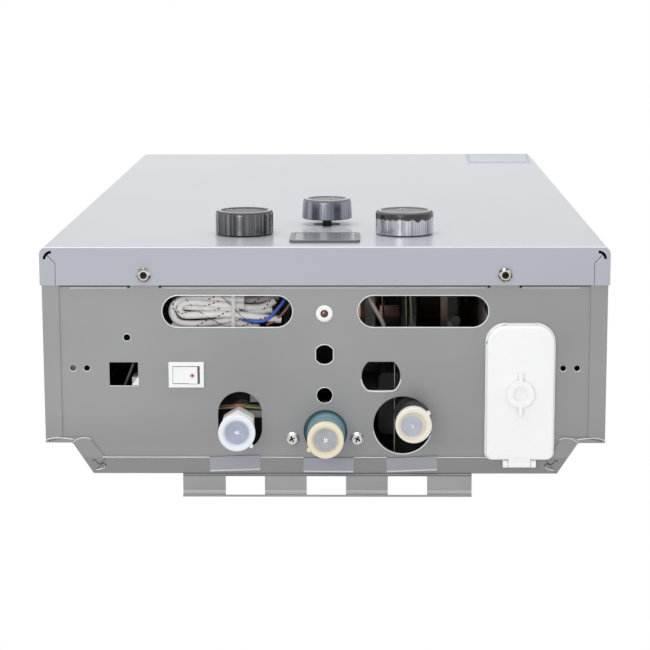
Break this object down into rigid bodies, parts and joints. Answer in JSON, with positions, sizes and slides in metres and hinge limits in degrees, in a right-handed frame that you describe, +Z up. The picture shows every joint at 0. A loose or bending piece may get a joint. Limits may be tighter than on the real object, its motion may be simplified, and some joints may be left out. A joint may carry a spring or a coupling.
{
  "type": "tankless gas water heater",
  "caption": "Wall-hung tankless gas water heater with a grey folded-sheet casing, three dark knobs, a battery box and capped pipe threads at its lower end.",
  "frame": {"origin": "middle between the hanging holes of the upper wall bracket, in the wall plane", "axes": "+X to the right seen from the front, +Y back towards the wall, +Z up"},
  "size_m": [0.35, 0.1742, 0.6591],
  "materials": {
    "casing_paint": "satin mid grey paint",
    "cover_paint": "satin light blue-grey metallic paint",
    "zinc": "zinc-plated steel",
    "dark_screw": "blackened steel",
    "nickel": "nickel-plated brass fitting",
    "brass": "bare cast brass",
    "copper": null,
    "stainless": "bare stainless sheet",
    "knob_chrome": "smoked chrome plating on plastic",
    "display_black": "glossy black plastic",
    "board_green": "circuit board",
    "white_plastic": "gloss white plastic",
    "cream_plastic": "cream soft plastic",
    "red_lens": "clear red plastic",
    "teal_rubber": "moulded rubber",
    "black_plastic": "moulded plastic",
    "wire_white": "braided sleeve",
    "wire_blue": "plastic insulation",
    "wire_brown": "plastic insulation",
    "ceramic": null
  },
  "bodies": {
    "heater": {"rear_casing": "casing_paint", "bottom_panel": "casing_paint", "top_panel": "casing_paint", "front_cover": "cover_paint", "wall_bracket_lower": "zinc", "wall_bracket_upper": "zinc", "outlet_screws": "zinc", "draught_hood": "zinc", "flue_collar": "zinc", "chamber_straps": "zinc", "valve_bracket": "zinc", "battery_contacts": "zinc", "lid_hinge_pin": "zinc", "burner_frame": "zinc", "gas_manifold": "zinc", "overheat_sensor": "zinc", "cover_screws": "dark_screw", "gas_inlet_fitting": "nickel", "solenoid_valve": "nickel", "hot_outlet_fitting": "brass", "cold_inlet_fitting": "brass", "water_valve": "brass", "combustion_chamber": "copper", "heat_exchanger": "copper", "chamber_coil": "copper", "hot_pipe": "copper", "cold_pipe": "copper", "burner_bars": "stainless", "gas_valve": "stainless", "section_valve": "stainless", "display_bezel": "display_black", "display_window": "display_black", "display_board": "board_green", "switch_body": "white_plastic", "led_bezel": "white_plastic", "battery_box": "white_plastic", "wire_connector": "white_plastic", "cable_tie": "cream_plastic", "led_lamp": "red_lens", "hot_outlet_seal": "teal_rubber", "ignition_controller": "black_plastic", "micro_switch": "black_plastic", "terminal_block": "black_plastic", "wire_bundle": "wire_white", "hanging_wire": "wire_white", "blue_wire": "wire_blue", "brown_wire": "wire_brown", "ignition_electrodes": "ceramic"},
    "knob_left": {"knob_left": "knob_chrome", "spindle_left": "brass"},
    "knob_right": {"knob_right": "knob_chrome", "spindle_right": "brass"},
    "knob_centre": {"knob_centre": "knob_chrome", "spindle_centre": "brass"},
    "rocker": {"switch_rocker": "white_plastic"},
    "lid": {"battery_lid": "white_plastic"},
    "latch": {"battery_latch": "white_plastic"},
    "gas_cap": {"gas_cap": "cream_plastic"},
    "hot_cap": {"hot_cap": "cream_plastic"},
    "cold_cap": {"cold_cap": "cream_plastic"}
  },
  "joints": [
    {"name": "knob_left_turn", "type": "hinge", "parent": "heater", "child": "knob_left", "pos_m": [-0.052, -0.157, -0.5535], "axis": [0, 1, 0], "range_deg": [0, 270]},
    {"name": "knob_right_turn", "type": "hinge", "parent": "heater", "child": "knob_right", "pos_m": [0.0503, -0.157, -0.5535], "axis": [0, 1, 0], "range_deg": [0, 270]},
    {"name": "knob_centre_turn", "type": "hinge", "parent": "heater", "child": "knob_centre", "pos_m": [0, -0.157, -0.5056], "axis": [0, 1, 0], "range_deg": [0, 120]},
    {"name": "rocker_tilt", "type": "hinge", "parent": "heater", "child": "rocker", "pos_m": [-0.0856, -0.0769, -0.6097], "axis": [0, 1, 0], "range_deg": [-14, 0]},
    {"name": "battery_lid_swing", "type": "hinge", "parent": "heater", "child": "lid", "pos_m": [0.1207, -0.0212, -0.616], "axis": [1, 0, 0], "range_deg": [0, 95]},
    {"name": "battery_latch_turn", "type": "hinge", "parent": "lid", "child": "latch", "pos_m": [0.1207, -0.0664, -0.6188], "axis": [0, 0, 1], "range_deg": [0, 90]},
    {"name": "gas_cap_pull", "type": "slide", "parent": "heater", "child": "gas_cap", "axis": [0, 0, -1], "range_m": [0, 0.06]},
    {"name": "hot_cap_pull", "type": "slide", "parent": "heater", "child": "hot_cap", "axis": [0, 0, -1], "range_m": [0, 0.06]},
    {"name": "cold_cap_pull", "type": "slide", "parent": "heater", "child": "cold_cap", "axis": [0, 0, -1], "range_m": [0, 0.06]}
  ]
}
